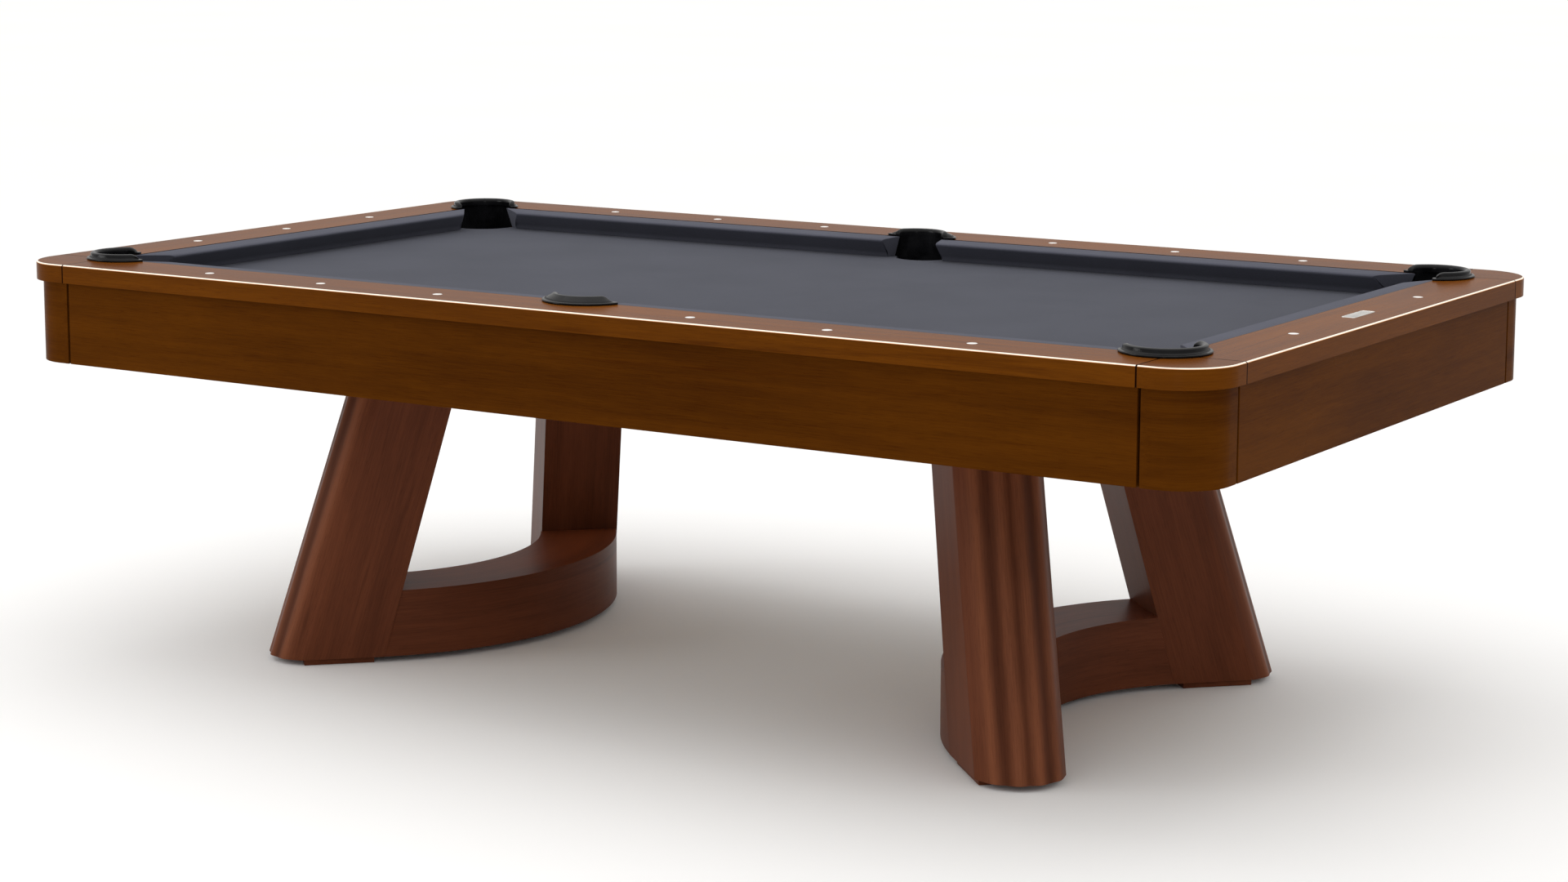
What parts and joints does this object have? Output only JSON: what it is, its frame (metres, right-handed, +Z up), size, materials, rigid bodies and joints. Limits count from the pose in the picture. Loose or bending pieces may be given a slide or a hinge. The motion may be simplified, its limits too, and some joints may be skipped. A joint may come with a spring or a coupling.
{
  "type": "pool table",
  "caption": "Slate-bed pool table with wooden rails and deep aprons, drop pockets at corners and sides, on splayed fluted legs joined in pairs by curved stretchers.",
  "frame": {"origin": "centre of the table's footprint on the floor, with the feet screwed right in", "axes": "+X along the table towards the end with the nameplate, +Y across it, +Z up"},
  "size_m": [2.5966, 1.479, 0.817],
  "materials": {
    "rail_wood": "satin lacquered warm brown wood",
    "apron_wood": "satin lacquered orange-brown wood with a fine straight grain",
    "leg_wood": "satin dark reddish brown wood",
    "frame_wood": "plain unfinished softwood",
    "bed_cloth": "smooth felted worsted cloth",
    "cushion_cloth": "smooth felted worsted cloth",
    "cushion_rubber": "matte",
    "slate": "honed grey stone",
    "pocket_rubber": "glossy black moulded rubber",
    "pearl": "pearl white",
    "nameplate_metal": "pale brushed, blank",
    "steel": "zinc plated"
  },
  "bodies": {
    "table": {"rail_front": "rail_wood", "rail_back": "rail_wood", "rail_left": "rail_wood", "rail_right": "rail_wood", "corner_block_front_left": "rail_wood", "corner_block_front_right": "rail_wood", "corner_block_back_left": "rail_wood", "corner_block_back_right": "rail_wood", "apron_front": "apron_wood", "apron_back": "apron_wood", "apron_left": "apron_wood", "apron_right": "apron_wood", "apron_corner_front_left": "apron_wood", "apron_corner_front_right": "apron_wood", "apron_corner_back_left": "apron_wood", "apron_corner_back_right": "apron_wood", "cushion_cloth_front_left": "cushion_cloth", "cushion_cloth_front_right": "cushion_cloth", "cushion_cloth_back_left": "cushion_cloth", "cushion_cloth_back_right": "cushion_cloth", "cushion_cloth_left": "cushion_cloth", "cushion_cloth_right": "cushion_cloth", "cushion_rubbers": "cushion_rubber", "feather_strips": "rail_wood", "slate_left": "slate", "slate_centre": "slate", "slate_right": "slate", "bed_cloth": "bed_cloth", "frame_long_beams": "frame_wood", "frame_end_beams": "frame_wood", "frame_joists": "frame_wood", "leg_boards": "frame_wood", "leg_front_left": "leg_wood", "leg_front_right": "leg_wood", "leg_back_left": "leg_wood", "leg_back_right": "leg_wood", "stretcher_left": "leg_wood", "stretcher_right": "leg_wood", "leveller_inserts": "steel", "pocket_rim_front_left": "pocket_rubber", "pocket_rim_front_right": "pocket_rubber", "pocket_rim_back_left": "pocket_rubber", "pocket_rim_back_right": "pocket_rubber", "pocket_rim_side_front": "pocket_rubber", "pocket_rim_side_back": "pocket_rubber", "pocket_buckets": "pocket_rubber", "sights": "pearl", "nameplate": "nameplate_metal", "rail_bolts": "steel", "base_bolts": "steel", "slate_screws": "steel", "rail_and_apron_brackets": "steel"},
    "foot_front_left": {"foot_pad_front_left": "leg_wood"},
    "screw_front_left": {"leveller_screw_front_left": "steel"},
    "foot_front_right": {"foot_pad_front_right": "leg_wood"},
    "screw_front_right": {"leveller_screw_front_right": "steel"},
    "foot_back_left": {"foot_pad_back_left": "leg_wood"},
    "screw_back_left": {"leveller_screw_back_left": "steel"},
    "foot_back_right": {"foot_pad_back_right": "leg_wood"},
    "screw_back_right": {"leveller_screw_back_right": "steel"}
  },
  "joints": [
    {"name": "foot_front_left_slide", "type": "slide", "parent": "table", "child": "foot_front_left", "axis": [0, 0, -1], "range_m": [0, 0.012]},
    {"name": "screw_front_left_turn", "type": "hinge", "parent": "foot_front_left", "child": "screw_front_left", "pos_m": [-0.77041, -0.40161, 0.04], "axis": [0, 0, -1], "range_deg": [0, 2160]},
    {"name": "foot_front_right_slide", "type": "slide", "parent": "table", "child": "foot_front_right", "axis": [0, 0, -1], "range_m": [0, 0.012]},
    {"name": "screw_front_right_turn", "type": "hinge", "parent": "foot_front_right", "child": "screw_front_right", "pos_m": [0.77041, -0.40161, 0.04], "axis": [0, 0, -1], "range_deg": [0, 2160]},
    {"name": "foot_back_left_slide", "type": "slide", "parent": "table", "child": "foot_back_left", "axis": [0, 0, -1], "range_m": [0, 0.012]},
    {"name": "screw_back_left_turn", "type": "hinge", "parent": "foot_back_left", "child": "screw_back_left", "pos_m": [-0.77041, 0.40161, 0.04], "axis": [0, 0, -1], "range_deg": [0, 2160]},
    {"name": "foot_back_right_slide", "type": "slide", "parent": "table", "child": "foot_back_right", "axis": [0, 0, -1], "range_m": [0, 0.012]},
    {"name": "screw_back_right_turn", "type": "hinge", "parent": "foot_back_right", "child": "screw_back_right", "pos_m": [0.77041, 0.40161, 0.04], "axis": [0, 0, -1], "range_deg": [0, 2160]}
  ],
  "couplings": [
    {"joint": "screw_front_left_turn", "follows": "foot_front_left_slide", "rad_per_m": 3141.6},
    {"joint": "screw_front_right_turn", "follows": "foot_front_right_slide", "rad_per_m": 3141.6},
    {"joint": "screw_back_left_turn", "follows": "foot_back_left_slide", "rad_per_m": 3141.6},
    {"joint": "screw_back_right_turn", "follows": "foot_back_right_slide", "rad_per_m": 3141.6}
  ]
}
